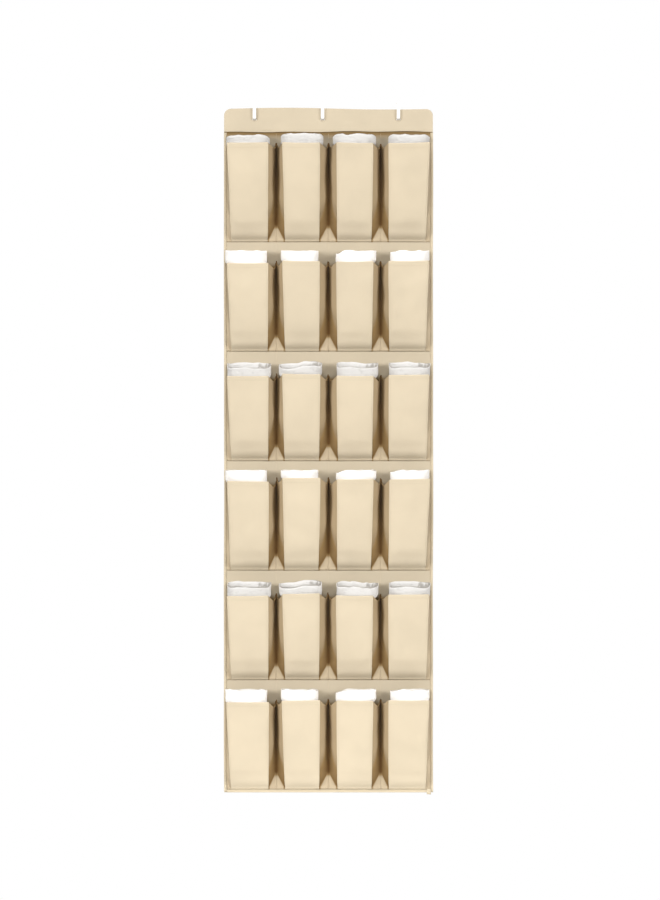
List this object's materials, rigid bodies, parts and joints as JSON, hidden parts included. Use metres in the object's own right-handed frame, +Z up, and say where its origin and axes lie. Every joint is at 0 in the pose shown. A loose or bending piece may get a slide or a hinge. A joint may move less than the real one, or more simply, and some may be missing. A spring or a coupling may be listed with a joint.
{
  "type": "over-the-door shoe organizer",
  "caption": "Tall cloth sheet of open-topped pockets in rows, hung over a door by strap hooks through slots in its stiff top hem, each pocket holding a removable roll of white stuffing.",
  "frame": {"origin": "on the top edge of the door, at the middle of the organizer's width, on the face of the door that the sheet hangs on", "axes": "+Z up, +X to the right seen from the front, -Y out of the pockets' fronts, +Y into the door"},
  "size_m": [0.496, 0.1345, 1.6395],
  "materials": {
    "cloth": "matte",
    "tape": "matte",
    "thread": "matte",
    "board": "matte",
    "stuffing": "matte",
    "hook_coating": "satin"
  },
  "bodies": {
    "hooks": {"hook_left": "hook_coating", "hook_middle": "hook_coating", "hook_right": "hook_coating"},
    "sheet": {"back_sheet": "cloth", "hem_sleeve": "cloth", "hem_board": "board", "slot_stitching": "thread", "side_tape_left": "tape", "side_tape_right": "tape", "bottom_tape": "tape", "pocket_r1_c1": "cloth", "pocket_r1_c2": "cloth", "pocket_r1_c3": "cloth", "pocket_r1_c4": "cloth", "pocket_r2_c1": "cloth", "pocket_r2_c2": "cloth", "pocket_r2_c3": "cloth", "pocket_r2_c4": "cloth", "pocket_r3_c1": "cloth", "pocket_r3_c2": "cloth", "pocket_r3_c3": "cloth", "pocket_r3_c4": "cloth", "pocket_r4_c1": "cloth", "pocket_r4_c2": "cloth", "pocket_r4_c3": "cloth", "pocket_r4_c4": "cloth", "pocket_r5_c1": "cloth", "pocket_r5_c2": "cloth", "pocket_r5_c3": "cloth", "pocket_r5_c4": "cloth", "pocket_r6_c1": "cloth", "pocket_r6_c2": "cloth", "pocket_r6_c3": "cloth", "pocket_r6_c4": "cloth"},
    "stuffing_r1_c1": {"stuffing_r1_c1": "stuffing"},
    "stuffing_r1_c2": {"stuffing_r1_c2": "stuffing"},
    "stuffing_r1_c3": {"stuffing_r1_c3": "stuffing"},
    "stuffing_r1_c4": {"stuffing_r1_c4": "stuffing"},
    "stuffing_r2_c1": {"stuffing_r2_c1": "stuffing"},
    "stuffing_r2_c2": {"stuffing_r2_c2": "stuffing"},
    "stuffing_r2_c3": {"stuffing_r2_c3": "stuffing"},
    "stuffing_r2_c4": {"stuffing_r2_c4": "stuffing"},
    "stuffing_r3_c1": {"stuffing_r3_c1": "stuffing"},
    "stuffing_r3_c2": {"stuffing_r3_c2": "stuffing"},
    "stuffing_r3_c3": {"stuffing_r3_c3": "stuffing"},
    "stuffing_r3_c4": {"stuffing_r3_c4": "stuffing"},
    "stuffing_r4_c1": {"stuffing_r4_c1": "stuffing"},
    "stuffing_r4_c2": {"stuffing_r4_c2": "stuffing"},
    "stuffing_r4_c3": {"stuffing_r4_c3": "stuffing"},
    "stuffing_r4_c4": {"stuffing_r4_c4": "stuffing"},
    "stuffing_r5_c1": {"stuffing_r5_c1": "stuffing"},
    "stuffing_r5_c2": {"stuffing_r5_c2": "stuffing"},
    "stuffing_r5_c3": {"stuffing_r5_c3": "stuffing"},
    "stuffing_r5_c4": {"stuffing_r5_c4": "stuffing"},
    "stuffing_r6_c1": {"stuffing_r6_c1": "stuffing"},
    "stuffing_r6_c2": {"stuffing_r6_c2": "stuffing"},
    "stuffing_r6_c3": {"stuffing_r6_c3": "stuffing"},
    "stuffing_r6_c4": {"stuffing_r6_c4": "stuffing"}
  },
  "joints": [
    {"name": "sheet_swing", "type": "hinge", "parent": "hooks", "child": "sheet", "pos_m": [0, -0.0075, -0.039], "axis": [-1, 0, 0], "range_deg": [0, 6]},
    {"name": "stuffing_r1_c1_lift", "type": "slide", "parent": "sheet", "child": "stuffing_r1_c1", "axis": [0, -0.2756, 0.9613], "range_m": [0, 0.18]},
    {"name": "stuffing_r1_c2_lift", "type": "slide", "parent": "sheet", "child": "stuffing_r1_c2", "axis": [0, -0.2756, 0.9613], "range_m": [0, 0.18]},
    {"name": "stuffing_r1_c3_lift", "type": "slide", "parent": "sheet", "child": "stuffing_r1_c3", "axis": [0, -0.2756, 0.9613], "range_m": [0, 0.18]},
    {"name": "stuffing_r1_c4_lift", "type": "slide", "parent": "sheet", "child": "stuffing_r1_c4", "axis": [0, -0.2756, 0.9613], "range_m": [0, 0.18]},
    {"name": "stuffing_r2_c1_lift", "type": "slide", "parent": "sheet", "child": "stuffing_r2_c1", "axis": [0, -0.2756, 0.9613], "range_m": [0, 0.18]},
    {"name": "stuffing_r2_c2_lift", "type": "slide", "parent": "sheet", "child": "stuffing_r2_c2", "axis": [0, -0.2756, 0.9613], "range_m": [0, 0.18]},
    {"name": "stuffing_r2_c3_lift", "type": "slide", "parent": "sheet", "child": "stuffing_r2_c3", "axis": [0, -0.2756, 0.9613], "range_m": [0, 0.18]},
    {"name": "stuffing_r2_c4_lift", "type": "slide", "parent": "sheet", "child": "stuffing_r2_c4", "axis": [0, -0.2756, 0.9613], "range_m": [0, 0.18]},
    {"name": "stuffing_r3_c1_lift", "type": "slide", "parent": "sheet", "child": "stuffing_r3_c1", "axis": [0, -0.2756, 0.9613], "range_m": [0, 0.18]},
    {"name": "stuffing_r3_c2_lift", "type": "slide", "parent": "sheet", "child": "stuffing_r3_c2", "axis": [0, -0.2756, 0.9613], "range_m": [0, 0.18]},
    {"name": "stuffing_r3_c3_lift", "type": "slide", "parent": "sheet", "child": "stuffing_r3_c3", "axis": [0, -0.2756, 0.9613], "range_m": [0, 0.18]},
    {"name": "stuffing_r3_c4_lift", "type": "slide", "parent": "sheet", "child": "stuffing_r3_c4", "axis": [0, -0.2756, 0.9613], "range_m": [0, 0.18]},
    {"name": "stuffing_r4_c1_lift", "type": "slide", "parent": "sheet", "child": "stuffing_r4_c1", "axis": [0, -0.2756, 0.9613], "range_m": [0, 0.18]},
    {"name": "stuffing_r4_c2_lift", "type": "slide", "parent": "sheet", "child": "stuffing_r4_c2", "axis": [0, -0.2756, 0.9613], "range_m": [0, 0.18]},
    {"name": "stuffing_r4_c3_lift", "type": "slide", "parent": "sheet", "child": "stuffing_r4_c3", "axis": [0, -0.2756, 0.9613], "range_m": [0, 0.18]},
    {"name": "stuffing_r4_c4_lift", "type": "slide", "parent": "sheet", "child": "stuffing_r4_c4", "axis": [0, -0.2756, 0.9613], "range_m": [0, 0.18]},
    {"name": "stuffing_r5_c1_lift", "type": "slide", "parent": "sheet", "child": "stuffing_r5_c1", "axis": [0, -0.2756, 0.9613], "range_m": [0, 0.18]},
    {"name": "stuffing_r5_c2_lift", "type": "slide", "parent": "sheet", "child": "stuffing_r5_c2", "axis": [0, -0.2756, 0.9613], "range_m": [0, 0.18]},
    {"name": "stuffing_r5_c3_lift", "type": "slide", "parent": "sheet", "child": "stuffing_r5_c3", "axis": [0, -0.2756, 0.9613], "range_m": [0, 0.18]},
    {"name": "stuffing_r5_c4_lift", "type": "slide", "parent": "sheet", "child": "stuffing_r5_c4", "axis": [0, -0.2756, 0.9613], "range_m": [0, 0.18]},
    {"name": "stuffing_r6_c1_lift", "type": "slide", "parent": "sheet", "child": "stuffing_r6_c1", "axis": [0, -0.2756, 0.9613], "range_m": [0, 0.18]},
    {"name": "stuffing_r6_c2_lift", "type": "slide", "parent": "sheet", "child": "stuffing_r6_c2", "axis": [0, -0.2756, 0.9613], "range_m": [0, 0.18]},
    {"name": "stuffing_r6_c3_lift", "type": "slide", "parent": "sheet", "child": "stuffing_r6_c3", "axis": [0, -0.2756, 0.9613], "range_m": [0, 0.18]},
    {"name": "stuffing_r6_c4_lift", "type": "slide", "parent": "sheet", "child": "stuffing_r6_c4", "axis": [0, -0.2756, 0.9613], "range_m": [0, 0.18]}
  ]
}
